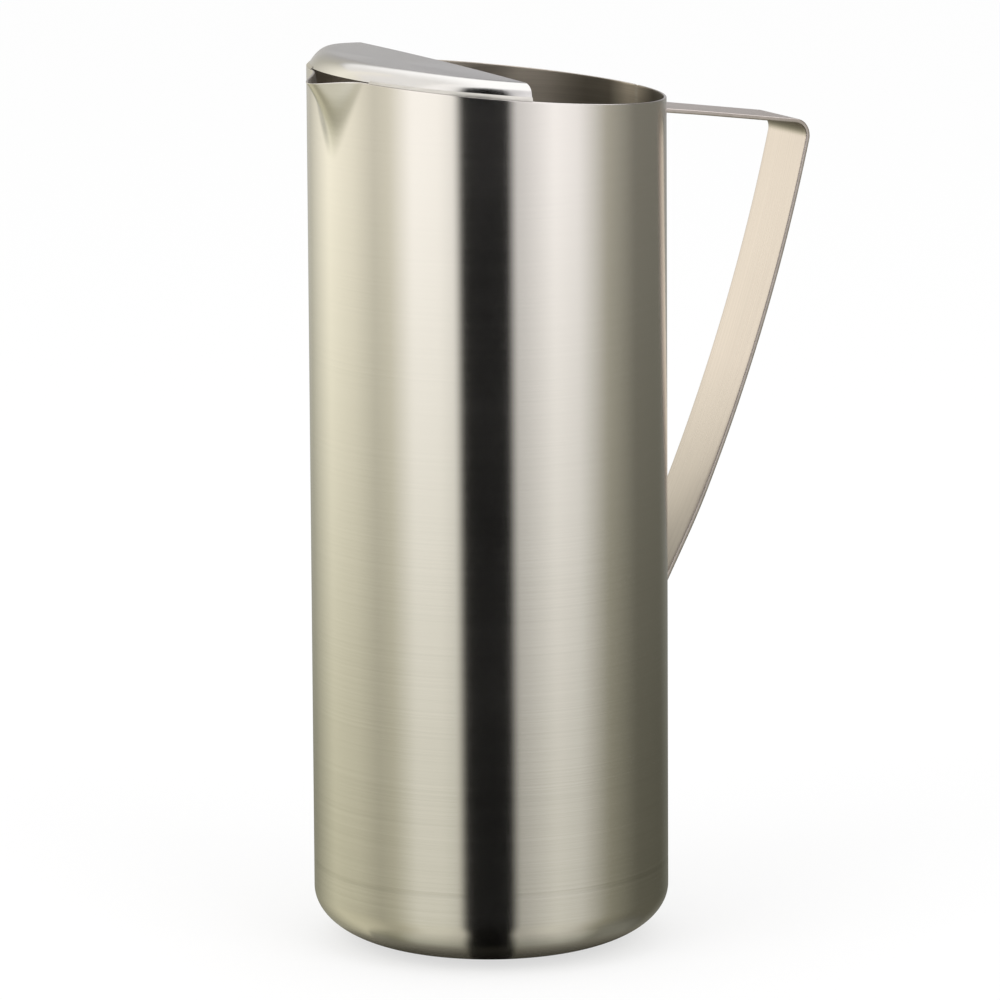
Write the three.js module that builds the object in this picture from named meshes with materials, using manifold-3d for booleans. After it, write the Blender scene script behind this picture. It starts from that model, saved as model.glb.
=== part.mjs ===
// Single-wall stainless steel water pitcher with an ice guard and a strap handle.
// Millimetres, +Z up. The origin is the centre of the flat base, on the body's axis.
// The spout points to -X and the handle to +X.
import * as THREE from "three";
import { mergeVertices } from "three/addons/utils/BufferGeometryUtils.js";
import Module from "manifold-3d";

// Body: a rolled tube with a slanted rim
const bodyDiameter = 105;
const wall = 0.8;
const rimHeight = 256;
const rimTiltDeg = 6.3;
const sideSeamWidth = 1.6;

// Base: a drawn cup with an elliptical corner, joined to the tube by a weld band
const cornerReach = 25.2;
const cornerRise = 15.4;
const baseSeamHeight = 24;
const baseSeamBand = 1.6;

// Spout: a V pressed out of the rim
const spoutReach = 8;
const spoutDepth = 25;
const spoutHalfAngleDeg = 16.5;
const spoutCrease = 0.12;

// Ice guard: a plate parallel to the rim, with a shoulder and a skirt that stands on a weld bead
const guardRear = 15.2;
const guardInset = 0.5;
const guardSkirt = 1.6;
const guardShoulderReach = 5.6;
const guardShoulderRise = 3.4;
const guardSheet = 0.9;
const guardCrown = 0.4;
const guardSeamHeight = 0.8;
const guardSeamClear = 1.5;

// Handle: a flat strap with a foot at each end
const strapWidth = 20.9;
const strapThickness = 1.3;
const handleDrop = 5.35;
const handlePitchDeg = 9.1;
const handleReach = 54.2;
const handleLowerHeight = 97;
const legRadius = 538;
const topBend = 3.2;
const cornerBend = 4.75;
const footBend = 14;
const footLength = 14;
const footGap = 0.05;
const formedRun = 2;
const flattenRun = 13.5;
const filletLeg = 1.6;
const filletHollow = 0.3;

// Fineness of the round surfaces
const wallFacets = 120;
const baseFacets = 80;
const spoutRows = 9;
const cornerSteps = 5;
const shoulderSteps = 5;
const bendSteps = 6;
const strapSteps = 8;
const weldTolerance = 1e-4;

const radius = bodyDiameter / 2;
const rimSlope = Math.tan(THREE.MathUtils.degToRad(rimTiltDeg));
const spoutHalfAngle = THREE.MathUtils.degToRad(spoutHalfAngleDeg);
const baseSeamLow = baseSeamHeight - baseSeamBand / 2;
const baseSeamHigh = baseSeamHeight + baseSeamBand / 2;
const big = 4 * (bodyDiameter + rimHeight + handleReach);

const wasm = await Module();
wasm.setup();

// A closed geometry as a solid for joining and cutting
function solid(geometry) {
  const bare = geometry.index ? geometry.toNonIndexed() : geometry.clone();
  bare.deleteAttribute("normal");
  bare.deleteAttribute("uv");
  const merged = mergeVertices(bare, weldTolerance);
  const triangles = [];
  const index = merged.index.array;
  for (let i = 0; i < index.length; i += 3) {
    const [a, b, c] = [index[i], index[i + 1], index[i + 2]];
    if (a !== b && b !== c && c !== a) triangles.push(a, b, c);
  }
  const mesh = new wasm.Mesh({
    numProp: 3,
    vertProperties: new Float32Array(merged.attributes.position.array),
    triVerts: new Uint32Array(triangles),
  });
  return new wasm.Manifold(mesh);
}

// The geometry of a solid
function shape(body) {
  const mesh = body.getMesh();
  const geometry = new THREE.BufferGeometry();
  geometry.setAttribute("position", new THREE.BufferAttribute(new Float32Array(mesh.vertProperties), 3));
  geometry.setIndex(new THREE.BufferAttribute(new Uint32Array(mesh.triVerts), 1));
  geometry.computeVertexNormals();
  return geometry;
}

// A profile of (radius, height) points turned about the Z axis
function turned(points, facets) {
  const geometry = new THREE.LatheGeometry(points, facets);
  geometry.rotateX(Math.PI / 2);
  return geometry;
}

// Moves every vertex by a function of its position
function reshape(geometry, move) {
  const position = geometry.attributes.position;
  const point = new THREE.Vector3();
  for (let i = 0; i < position.count; i++) {
    point.fromBufferAttribute(position, i);
    move(point);
    position.setXYZ(i, point.x, point.y, point.z);
  }
  return geometry;
}

// Lifts a shape made above the plane Z = 0 onto the slanted plane of the rim
function ontoRim(geometry) {
  return reshape(geometry, (p) => {
    p.z += rimHeight - rimSlope * p.x;
  });
}

function block(x0, x1, y0, y1, z0, z1) {
  const geometry = new THREE.BoxGeometry(x1 - x0, y1 - y0, z1 - z0);
  geometry.translate((x0 + x1) / 2, (y0 + y1) / 2, (z0 + z1) / 2);
  return solid(geometry);
}

function ring(inner, outer, low, high) {
  return [
    new THREE.Vector2(inner, low),
    new THREE.Vector2(outer, low),
    new THREE.Vector2(outer, high),
    new THREE.Vector2(inner, high),
    new THREE.Vector2(inner, low),
  ];
}

// How far the spout's press has moved the wall at an angle from the spout and a depth under the rim:
// 0 outside the V, 1 at the middle of the lip, with a small radius along the creases
function pressed(angle, depth) {
  const lift = 1 - Math.abs(angle) / spoutHalfAngle - depth / spoutDepth;
  if (lift <= 0) return 0;
  const eased = lift < spoutCrease ? (lift * lift) / (2 * spoutCrease) : lift - spoutCrease / 2;
  return eased / (1 - spoutCrease / 2);
}

// Body tube and its side seam
const heights = [baseSeamHigh];
for (let i = 0; i <= spoutRows; i++) heights.push(rimHeight - spoutDepth * (1 - i / spoutRows));
const tubeProfile = heights.map((z) => new THREE.Vector2(radius, z));
for (const z of [...heights].reverse()) tubeProfile.push(new THREE.Vector2(radius - wall, z));
tubeProfile.push(tubeProfile[0].clone());
const spoutDrop = spoutDepth - Math.sqrt(spoutDepth ** 2 - spoutReach ** 2);
const tubeGeometry = reshape(turned(tubeProfile, wallFacets), (p) => {
  if (p.z < baseSeamHigh + weldTolerance) return;
  const angle = Math.atan2(p.y, -p.x);
  const amount = pressed(angle, rimHeight - p.z);
  const reach = Math.hypot(p.x, p.y);
  const grown = (reach + spoutReach * amount) / reach;
  p.z -= rimSlope * p.x + spoutDrop * amount;
  p.x *= grown;
  p.y *= grown;
});
const tube = solid(tubeGeometry);
const seamSlot = block(0, big, -sideSeamWidth / 2, sideSeamWidth / 2, -big, big);
const bodyTube = shape(tube.subtract(seamSlot));
const sideSeam = shape(tube.intersect(seamSlot));

// Base seam
const baseSeam = turned(ring(radius - wall, radius, baseSeamLow, baseSeamHigh), baseFacets);

// Base cup: the outside from the middle to the top edge, then the inside back to the middle
const cupOutside = new THREE.Path();
cupOutside.moveTo(0, 0);
cupOutside.lineTo(radius - cornerReach, 0);
cupOutside.absellipse(radius - cornerReach, cornerRise, cornerReach, cornerRise, -Math.PI / 2, 0, false);
cupOutside.lineTo(radius, baseSeamLow);
const cupInside = new THREE.Path();
cupInside.moveTo(radius - wall, baseSeamLow);
cupInside.lineTo(radius - wall, cornerRise);
cupInside.absellipse(
  radius - cornerReach,
  cornerRise,
  cornerReach - wall,
  cornerRise - wall,
  0,
  -Math.PI / 2,
  true,
);
cupInside.lineTo(0, wall);
const cupProfile = [...cupOutside.getPoints(cornerSteps), ...cupInside.getPoints(cornerSteps)];
const baseCup = turned(cupProfile, baseFacets);

// Ice guard: a whole cap, cut straight across at its rear edge
const skirtRadius = radius - guardInset;
const plateEdge = skirtRadius - guardShoulderReach;
const plateHeight = guardSkirt + guardShoulderRise;
const crownTop = plateHeight + guardCrown;
const capOutside = new THREE.Path();
capOutside.moveTo(skirtRadius - guardSheet, guardSeamHeight);
capOutside.lineTo(skirtRadius, guardSeamHeight);
capOutside.lineTo(skirtRadius, guardSkirt);
capOutside.absellipse(plateEdge, guardSkirt, guardShoulderReach, guardShoulderRise, 0, Math.PI / 2, false);
capOutside.quadraticCurveTo(plateEdge / 2, crownTop, 0, crownTop);
const insideReach = guardShoulderReach - guardSheet;
const insideRise = guardShoulderRise - guardSheet;
const capInside = new THREE.Path();
capInside.moveTo(0, crownTop - guardSheet);
capInside.quadraticCurveTo(plateEdge / 2, crownTop - guardSheet, plateEdge, plateHeight - guardSheet);
capInside.absellipse(plateEdge, guardSkirt, insideReach, insideRise, Math.PI / 2, 0, true);
capInside.lineTo(skirtRadius - guardSheet, guardSeamHeight);
const capProfile = [...capOutside.getPoints(shoulderSteps), ...capInside.getPoints(shoulderSteps)];
const behindGuard = block(-guardRear, big, -big, big, -big, big);
const cap = solid(ontoRim(turned(capProfile, wallFacets)));
const iceGuard = shape(cap.subtract(behindGuard));

// Guard seams: a bead on the rim, left out behind the guard and across the spout
const bead = solid(ontoRim(turned(ring(radius - wall, radius, 0, guardSeamHeight), wallFacets)));
const spoutGap = radius * Math.sin(spoutHalfAngle) + guardSeamClear;
const beads = bead.subtract(behindGuard);
const guardSeamNear = shape(beads.intersect(block(-big, big, -big, -spoutGap, -big, big)));
const guardSeamFar = shape(beads.intersect(block(-big, big, spoutGap, big, -big, big)));

// Handle strap: its side view is an outline of lines and arcs, half the thickness from the strap's middle line
const pitch = THREE.MathUtils.degToRad(handlePitchDeg);
const half = strapThickness / 2;
const footInside = radius + footGap;
const footX = footInside + half;
const topAtWall = rimHeight - rimSlope * radius - handleDrop - half / Math.cos(pitch);
const topAt = (x) => topAtWall - Math.tan(pitch) * (x - radius);

// The first bend joins the upper foot to the top run
const bendOne = new THREE.Vector2(footX + topBend, topAt(footX + topBend) - topBend / Math.cos(pitch));

// The leg is an arc through the handle's outer corner and the point where it reaches the lower foot
const outerCorner = new THREE.Vector2(radius + handleReach, topAt(radius + handleReach));
const lowerCorner = new THREE.Vector2(footX, handleLowerHeight);
const chord = new THREE.Vector2().subVectors(lowerCorner, outerCorner);
const legCentre = new THREE.Vector2().addVectors(outerCorner, lowerCorner).multiplyScalar(0.5);
const legBack = Math.sqrt(legRadius ** 2 - chord.lengthSq() / 4);
legCentre.add(new THREE.Vector2(chord.y, -chord.x).normalize().multiplyScalar(legBack));

// The second bend lies under the top run and inside the leg's arc
const along = new THREE.Vector2(Math.cos(pitch), -Math.sin(pitch));
const under = new THREE.Vector2(-Math.sin(pitch), -Math.cos(pitch));
const start = new THREE.Vector2(radius, topAtWall).addScaledVector(under, cornerBend).sub(legCentre);
const back = start.dot(along);
const run = Math.sqrt(back ** 2 - start.lengthSq() + (legRadius - cornerBend) ** 2) - back;
const bendTwo = start.clone().addScaledVector(along, run).add(legCentre);
const legTop = Math.atan2(bendTwo.y - legCentre.y, bendTwo.x - legCentre.x);

// The third bend turns the leg down along the wall into the lower foot
const bendThreeX = footX + footBend;
const bendThreeDrop = Math.sqrt((legRadius + footBend) ** 2 - (bendThreeX - legCentre.x) ** 2);
const bendThree = new THREE.Vector2(bendThreeX, legCentre.y - bendThreeDrop);
const legLow = Math.atan2(bendThree.y - legCentre.y, bendThree.x - legCentre.x);
const upperFootEnd = bendOne.y - footLength;
const lowerFootEnd = bendThree.y - footLength;

// One face of the strap from the upper foot to the lower one, then the other face back
const sideView = new THREE.Shape();
sideView.moveTo(footX - half, upperFootEnd);
sideView.absarc(bendOne.x, bendOne.y, topBend + half, Math.PI, Math.PI / 2 - pitch, true);
sideView.absarc(bendTwo.x, bendTwo.y, cornerBend + half, Math.PI / 2 - pitch, legTop, true);
sideView.absarc(legCentre.x, legCentre.y, legRadius + half, legTop, legLow, true);
sideView.absarc(bendThree.x, bendThree.y, footBend - half, legLow + Math.PI, Math.PI, false);
sideView.lineTo(footX + half, lowerFootEnd);
sideView.lineTo(footX - half, lowerFootEnd);
sideView.absarc(bendThree.x, bendThree.y, footBend + half, Math.PI, legLow + Math.PI, true);
sideView.absarc(legCentre.x, legCentre.y, legRadius - half, legLow, legTop, false);
sideView.absarc(bendTwo.x, bendTwo.y, cornerBend - half, legTop, Math.PI / 2 - pitch, false);
sideView.absarc(bendOne.x, bendOne.y, topBend - half, Math.PI / 2 - pitch, Math.PI, false);
sideView.lineTo(footX + half, upperFootEnd);
const strapBlank = new THREE.ExtrudeGeometry(sideView, {
  depth: strapWidth,
  steps: strapSteps,
  curveSegments: bendSteps,
  bevelEnabled: false,
});
strapBlank.rotateX(Math.PI / 2);
strapBlank.translate(0, strapWidth / 2, 0);

// Near the wall the strap is formed to the round of the body. Further out it is flat across.
const formedTo = footInside + strapThickness + formedRun;
const flatFrom = formedTo + flattenRun;
const handleStrap = reshape(strapBlank, (p) => {
  const formed = 1 - THREE.MathUtils.smoothstep(p.x, formedTo, flatFrom);
  p.x -= formed * (footInside - Math.sqrt(footInside ** 2 - p.y ** 2));
});

// A fillet weld under a foot, as wide as the strap
function footWeld(top) {
  const bottom = top - filletLeg;
  const profile = new THREE.Path();
  profile.moveTo(footInside, bottom);
  profile.quadraticCurveTo(footInside + filletHollow, top - filletHollow, footInside + filletLeg, top);
  profile.lineTo(footInside, top);
  profile.lineTo(footInside, bottom);
  const whole = solid(turned(profile.getPoints(bendSteps), wallFacets));
  return shape(whole.intersect(block(0, big, -strapWidth / 2, strapWidth / 2, -big, big)));
}

const pitcher = new THREE.Group();
pitcher.name = "water_pitcher";

function piece(name, geometry, color, roughness) {
  const material = new THREE.MeshStandardMaterial({ color, roughness, metalness: 1 });
  const mesh = new THREE.Mesh(geometry, material);
  mesh.name = name;
  pitcher.add(mesh);
}

piece("body_tube", bodyTube, 0xc8c4bb, 0.32);
piece("side_seam", sideSeam, 0xbdb9b0, 0.4);
piece("base_seam", shape(solid(baseSeam)), 0xb9b5ab, 0.4);
piece("base_cup", shape(solid(baseCup)), 0xc4c0b6, 0.32);
piece("ice_guard", iceGuard, 0xcccac6, 0.3);
piece("guard_seam_near", guardSeamNear, 0xd0cdc8, 0.35);
piece("guard_seam_far", guardSeamFar, 0xd0cdc8, 0.35);
piece("handle_strap", handleStrap, 0xd2cabd, 0.38);
piece("handle_top_weld", footWeld(upperFootEnd), 0xb4afa6, 0.45);
piece("handle_lower_weld", footWeld(lowerFootEnd), 0xb4afa6, 0.45);

export default pitcher;
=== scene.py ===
# %% [markdown]
# A steel water pitcher, piece by piece. It is a tall single-wall pitcher made from brushed steel sheet: a
# rolled tube, a drawn base, a stamped ice guard over the spout and a bent strap for a handle, all welded
# together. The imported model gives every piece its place, so the first step is to load it and to note how
# large it is.

# %% Load the frame
import math

import bmesh
import bpy
from mathutils import Matrix, Vector


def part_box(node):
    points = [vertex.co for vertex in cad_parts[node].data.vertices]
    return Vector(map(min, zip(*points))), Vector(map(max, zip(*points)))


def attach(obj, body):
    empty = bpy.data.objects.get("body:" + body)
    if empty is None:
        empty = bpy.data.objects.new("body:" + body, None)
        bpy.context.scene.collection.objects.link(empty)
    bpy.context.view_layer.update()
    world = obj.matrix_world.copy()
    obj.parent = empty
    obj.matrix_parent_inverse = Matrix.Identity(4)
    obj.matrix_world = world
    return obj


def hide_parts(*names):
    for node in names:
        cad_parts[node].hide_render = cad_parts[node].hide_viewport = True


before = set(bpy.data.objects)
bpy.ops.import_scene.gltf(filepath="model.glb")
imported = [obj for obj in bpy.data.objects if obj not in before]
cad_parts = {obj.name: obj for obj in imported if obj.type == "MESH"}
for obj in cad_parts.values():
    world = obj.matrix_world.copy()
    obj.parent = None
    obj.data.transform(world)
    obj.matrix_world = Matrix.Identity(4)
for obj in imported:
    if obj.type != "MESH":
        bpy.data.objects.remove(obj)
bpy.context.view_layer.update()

MM = 0.001

# %% [markdown]
# The same few driving sizes shape the steel here as in the solid model. All of them could be typed again,
# but then the two models might drift apart. So what a solid's box can tell is read from the frame: the
# tube's radius from its width, and the weld band's place from its own box. The rest is written once, in
# metres.

# %% Sizes of the sheet metal
tube_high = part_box("body_tube")[1]
band_low, band_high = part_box("base_seam")
radius = tube_high.y
band_bottom, band_top = band_low.z, band_high.z
wall = 0.8 * MM
rim_height = 256 * MM
rim_slope = math.tan(math.radians(6.3))


def rim_at(x):
    """Height of the slanted rim plane at this x."""
    return rim_height - rim_slope * x


print(f"tube {2 * radius / MM:.1f} mm across, weld band {band_bottom / MM:.1f} to {band_top / MM:.1f} mm up")

# %% [markdown]
# Sheet steel is smooth on its faces and crisp at its edges. An edge split or a weighted normal modifier
# could show that. Marking the edges sharp by their angle does it in one line, so each mesh gets that after
# its double points are joined and its faces are turned outward.

# %% Helpers that smooth a mesh and put it in the scene
merge_gap = 0.0001 * MM
crisp_angle = math.radians(40)


def put_in_scene(name, data):
    """A new object with this mesh, lens or lamp."""
    obj = bpy.data.objects.new(name, data)
    bpy.context.scene.collection.objects.link(obj)
    return obj


def smooth_skin(work, mesh, gap):
    """Joins points closer than the gap, turns the faces outward and shades them smooth up to crisp edges."""
    bmesh.ops.remove_doubles(work, verts=work.verts, dist=gap)
    bmesh.ops.recalc_face_normals(work, faces=work.faces)
    work.to_mesh(mesh)
    work.free()
    mesh.shade_smooth()
    mesh.set_sharp_from_angle(angle=crisp_angle)


print(f"meshes: edges over {math.degrees(crisp_angle):.0f} degrees stay crisp")

# %% [markdown]
# Every piece of sheet is a skin: rows of points joined by four-sided faces. Such a mesh could be drawn by
# hand in edit mode, but a formula for the points is exact and easy to change. One helper makes a skin from
# a list of rings, so each piece only has to say where its points lie.

# %% A helper that skins rings of points
def skin(name, rings, loop_across=False, caps=False):
    """A piece through rings of points. It can loop back to the first ring, or have caps on its ends."""
    count = len(rings[0])
    points = [tuple(point) for ring_points in rings for point in ring_points]
    faces = []
    for i in range(len(rings) if loop_across else len(rings) - 1):
        this, after = i * count, (i + 1) % len(rings) * count
        for j in range(count):
            k = (j + 1) % count
            faces.append((this + j, this + k, after + k, after + j))
    if caps:
        faces.append(tuple(reversed(range(count))))
        faces.append(tuple(range(len(points) - count, len(points))))
    mesh = bpy.data.meshes.new(name)
    mesh.from_pydata(points, [], faces)
    work = bmesh.new()
    work.from_mesh(mesh)
    smooth_skin(work, mesh, merge_gap)
    return put_in_scene(name, mesh)


print("skins: each ring is closed on itself")

# %% [markdown]
# The body a piece rides on and the solid it replaces could be noted piece by piece. One helper notes both, so
# that no piece misses one, and nothing on a pitcher moves, so there is one body.

# %% A helper that puts a piece in a solid's place
def stand_for(obj, node):
    """The piece rides on the one body and takes the place of a solid."""
    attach(obj, "root")
    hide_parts(node)
    print(f"{obj.name}: {len(obj.data.polygons)} faces, stands for {node}")


# %% [markdown]
# Some finishes change over a piece, and later the light changes round the studio. Both follow rules of the
# same kind: a few stops, each with a value and a colour. A picture could hold such a change, but a colour
# ramp needs no file and can be set in the value's own unit, such as degrees or metres.

# %% Turn rules into ramps
def rescaled(tree, value, given, wanted=(0.0, 1.0)):
    """A value moved from a given range to a wanted one, and held inside it."""
    node = tree.nodes.new("ShaderNodeMapRange")
    for name, limit in zip(("From Min", "From Max", "To Min", "To Max"), (*given, *wanted)):
        node.inputs[name].default_value = limit
    tree.links.new(value, node.inputs["Value"])
    return node.outputs["Result"]


def graded(tree, value, stops):
    """Colours that follow a value. The stops are (value, colour) pairs in the value's own unit."""
    low, high = stops[0][0], stops[-1][0]
    ramp = tree.nodes.new("ShaderNodeValToRGB")
    elements = ramp.color_ramp.elements
    while len(elements) < len(stops):
        elements.new(0.5)
    for element, (at, colour) in zip(elements, stops):
        element.position = (at - low) / (high - low)
        element.color = (*colour, 1)
    tree.links.new(rescaled(tree, value, (low, high)), ramp.inputs["Fac"])
    return ramp.outputs["Color"]


print("ramps:", [helper.__name__ for helper in (rescaled, graded)])

# %% [markdown]
# Where two rules meet, their colours are multiplied, or the lighter one wins. Values need sums now and
# then. The nodes for this could be placed by hand, but two small helpers keep each rule on one readable
# line.

# %% Combine colours and values
first_colour, second_colour, mixed_colour = 6, 7, 2  # Places of the colour sockets on a mix node


def blend(tree, how, first, second):
    """Two colours multiplied, or the lighter of the two."""
    mix = tree.nodes.new("ShaderNodeMix")
    mix.data_type = "RGBA"
    mix.blend_type = how
    mix.inputs["Factor"].default_value = 1.0
    tree.links.new(first, mix.inputs[first_colour])
    tree.links.new(second, mix.inputs[second_colour])
    return mix.outputs[mixed_colour]


def work_out(tree, how, *values):
    """One sum, with sockets or plain numbers."""
    node = tree.nodes.new("ShaderNodeMath")
    node.operation = how
    for socket, value in zip(node.inputs, values):
        if isinstance(value, float):
            socket.default_value = value
        else:
            tree.links.new(value, socket)
    return node.outputs["Value"]


print("sums:", [helper.__name__ for helper in (blend, work_out)])

# %% [markdown]
# A rule needs a value to follow: how high a place is, how far from the axis, or at what angle round it. A
# piece could be unwrapped to know its places, but steel and cloth here are round about the axis, so the
# object's own X, Y and Z are enough, and they stay put when the camera moves.

# %% Measure a place on a piece
def places(tree):
    """The X, Y and Z of a place on the piece."""
    parts = tree.nodes.new("ShaderNodeSeparateXYZ")
    place = tree.nodes.new("ShaderNodeTexCoord")
    tree.links.new(place.outputs["Object"], parts.inputs["Vector"])
    return parts.outputs


def bearing(tree, x, y):
    """Degrees round the axis, counted from the X direction."""
    return work_out(tree, "DEGREES", work_out(tree, "ARCTAN2", y, x))


def distance(tree, x, y):
    """How far a place lies from where x and y are zero."""
    squares = work_out(tree, "MULTIPLY_ADD", x, x, work_out(tree, "MULTIPLY", y, y))
    return work_out(tree, "SQRT", squares)


print("measures:", [helper.__name__ for helper in (places, bearing, distance)])

# %% [markdown]
# Steel shows what stands round it, so the finish is where most of the likeness lies. A brushed surface has
# fine parallel scratches. A photograph of some could be wrapped round the body, but it would repeat and
# blur. Noise that is stretched along the brushing direction does neither. A second, broad noise stands for
# the uneven pressure of the belt.

# %% Noise for scratches and for the belt's pressure
def noise(tree, place, scale, detail, crumble):
    """An uneven value at each place. A larger scale is finer, and crumble strengthens the fine detail."""
    node = tree.nodes.new("ShaderNodeTexNoise")
    node.inputs["Scale"].default_value = scale
    node.inputs["Detail"].default_value = detail
    node.inputs["Roughness"].default_value = crumble
    tree.links.new(place, node.inputs["Vector"])
    return node.outputs["Fac"]


def scratch_noise(tree, place, grain):
    """Scratches that run along the axes in which grain is small."""
    stretch = tree.nodes.new("ShaderNodeMapping")
    stretch.inputs["Scale"].default_value = grain
    tree.links.new(place, stretch.inputs["Vector"])
    return noise(tree, stretch.outputs["Vector"], scale=1.0, detail=3.0, crumble=0.65)


def belt_pressure(tree, place):
    """Broad patches, a few centimetres across."""
    return noise(tree, place, scale=22.0, detail=2.0, crumble=0.5)


print("noises:", [helper.__name__ for helper in (scratch_noise, belt_pressure)])

# %% [markdown]
# Scratches blur a reflection across them and leave it sharp along them. Real grooves would need millions of
# faces, so an anisotropic shader does it. Round the body the scratches run round the axis, and a radial
# tangent turns with the wall. A very small bump lets single scratches catch the light.

# %% Grain and relief of the scratches
relief_strength, relief_height = 0.10, 0.04 * MM
quarter_turn = 0.25


def turn_grain_round(tree, steel):
    """Lets the sharp direction of the reflections run round the Z axis."""
    tangent = tree.nodes.new("ShaderNodeTangent")
    tangent.direction_type = "RADIAL"
    tangent.axis = "Z"
    steel.inputs["Anisotropic Rotation"].default_value = quarter_turn
    tree.links.new(tangent.outputs["Tangent"], steel.inputs["Tangent"])


def raise_scratches(tree, steel, scratches, streaks):
    """A very small bump along the scratches."""
    relief = tree.nodes.new("ShaderNodeBump")
    relief.inputs["Strength"].default_value = relief_strength * streaks
    relief.inputs["Distance"].default_value = relief_height
    tree.links.new(scratches, relief.inputs["Height"])
    tree.links.new(relief.outputs["Normal"], steel.inputs["Normal"])


print(f"scratches stand {relief_height / MM:.2f} mm high at most")

# %% [markdown]
# All the steel on the pitcher is brushed, but each piece has its own tint, grain and gloss. Separate
# materials could be built node by node. One helper with a few settings makes them all, so they stay one
# family. The scratches drive the colour, and together with the belt's pressure they drive the roughness.

# %% A helper for brushed steel
scratch_range = 0.3, 0.62
streak_dark, streak_light = 0.16, 0.05
pressure_share = 0.5
wear_range = 0.4, 1.0
smooth_share, rough_share = 0.85, 1.2


def brushed_steel(name, tint, grain, roughness, streaks, anisotropy=0.0):
    """Grain counts the scratches per metre along X, Y and Z, and streaks says how strong they are."""
    material = bpy.data.materials.new(name)
    material.use_nodes = True
    tree = material.node_tree
    steel = tree.nodes["Principled BSDF"]
    steel.inputs["Metallic"].default_value = 1.0
    steel.inputs["Anisotropic"].default_value = anisotropy
    place = tree.nodes.new("ShaderNodeTexCoord").outputs["Object"]
    scratches = scratch_noise(tree, place, grain)

    dark = [c * (1 - streak_dark * streaks) for c in tint]
    light = [min(1.0, c * (1 + streak_light * streaks)) for c in tint]
    colour = graded(tree, scratches, list(zip(scratch_range, (dark, light))))
    tree.links.new(colour, steel.inputs["Base Color"])

    wear = work_out(tree, "MULTIPLY_ADD", belt_pressure(tree, place), pressure_share, scratches)
    rough = rescaled(tree, wear, wear_range, (smooth_share * roughness, rough_share * roughness))
    tree.links.new(rough, steel.inputs["Roughness"])

    raise_scratches(tree, steel, scratches, streaks)
    if anisotropy > 0:
        turn_grain_round(tree, steel)
    print(f"{name}: roughness {roughness}, anisotropy {anisotropy}")
    return material


print(f"roughness runs from {smooth_share} to {rough_share} of what a finish asks for")

# %% [markdown]
# The body tube is one sheet, rolled and welded, then cut at a slant so that the rim is higher at the spout.
# The spout is pressed out of the rim with a V punch: the wall swings outward about the foot of the V, so
# the lip moves out and drops a little. That could be sculpted, but no size could be changed afterwards. So
# each point of the wall is placed by a formula, from its angle from the spout and its depth under the rim.

# %% How the spout is pressed
spout_reach = 8.0 * MM
spout_depth = 25.0 * MM
spout_half_angle = math.radians(16.5)
spout_flare = 2.0
ridge_round = math.radians(4)
spout_drop = spout_depth - math.sqrt(spout_depth ** 2 - spout_reach ** 2)


def from_ridge(angle):
    """Angle from the spout's ridge, which is rounded off."""
    return math.hypot(angle, ridge_round) - ridge_round


def pressed(angle, depth):
    """Share of the spout's reach that the wall has at this angle and depth: 0 outside the V, 1 at the lip."""
    lift = 1 - from_ridge(angle) / from_ridge(spout_half_angle) - depth / spout_depth
    return max(lift, 0.0) ** spout_flare


def wall_point(angle, depth, inset):
    """A point of the tube's wall. The angle counts from the spout, the inset from the sheet's outside."""
    amount = pressed(angle, depth)
    unpressed = radius - inset
    reach = unpressed + spout_reach * amount
    height = rim_at(-unpressed * math.cos(angle)) - depth - spout_drop * amount
    return Vector((-reach * math.cos(angle), reach * math.sin(angle), height))


print(f"lip {spout_reach / MM:.1f} mm out and {spout_drop / MM:.2f} mm down")

# %% [markdown]
# The tube is then one vertical cut through the sheet, carried round: up the outside from the weld band,
# over the edge and down the inside. A solidify modifier could give the sheet its thickness, but it would
# not follow the slanted rim exactly. Rows lie close together where the V is, and the edge is rounded on
# both sides, as a deburred edge is.

# %% Draw one cut through the tube's sheet
edge_round = 0.3 * MM


def spread(start, end, count):
    """Values from start to end in this many even steps."""
    return [start + (end - start) * i / count for i in range(count + 1)]


def tube_side(angle, inset):
    """The wall from the weld band up to just under the edge, this far in from the outside."""
    pressed_rows = [wall_point(angle, depth, inset) for depth in spread(spout_depth, 2 * edge_round, 36)]
    foot = pressed_rows[0]
    straight_rows = [Vector((foot.x, foot.y, z)) for z in spread(band_top, foot.z, 4)[:-1]]
    return straight_rows + pressed_rows


def tube_edge(angle):
    """The edge of the sheet, with a quarter round on each side."""
    turns = spread(0.0, math.pi / 2, 4)
    quarter = [(edge_round * (1 - math.sin(a)), edge_round * (1 - math.cos(a))) for a in turns]
    outer = [wall_point(angle, depth, inset) for depth, inset in quarter]
    inner = [wall_point(angle, depth, wall - inset) for inset, depth in quarter]
    return outer + inner


def tube_section(angle):
    """The whole cut at this angle from the spout."""
    return tube_side(angle, 0.0) + tube_edge(angle) + tube_side(angle, wall)[::-1]


print(f"each cut through the tube has {len(tube_section(0.0))} points")

# %% [markdown]
# Outside, the tube is brushed on a belt, round the axis. Inside it keeps the duller, warmer skin of the
# rolled sheet, with painted shade in soft upright bands. One finish with a mask could show both. Two finishes
# on one mesh are simpler, and the painted shade is a rule that leaves a share of the colour at each angle
# round the axis.

# %% Finishes of the tube, with painted shade inside
body_steel = brushed_steel(
    "body_steel", tint=(0.80, 0.765, 0.735), grain=(6, 6, 3600),
    roughness=0.19, streaks=0.18, anisotropy=0.97,
)
inside_steel_with_painted_shade = brushed_steel(
    "inside_steel_with_painted_shade", tint=(0.76, 0.68, 0.575), grain=(8, 8, 1800),
    roughness=0.34, streaks=0.6, anisotropy=0.95,
)
plain = Vector((1.0, 1.0, 1.0))
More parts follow.
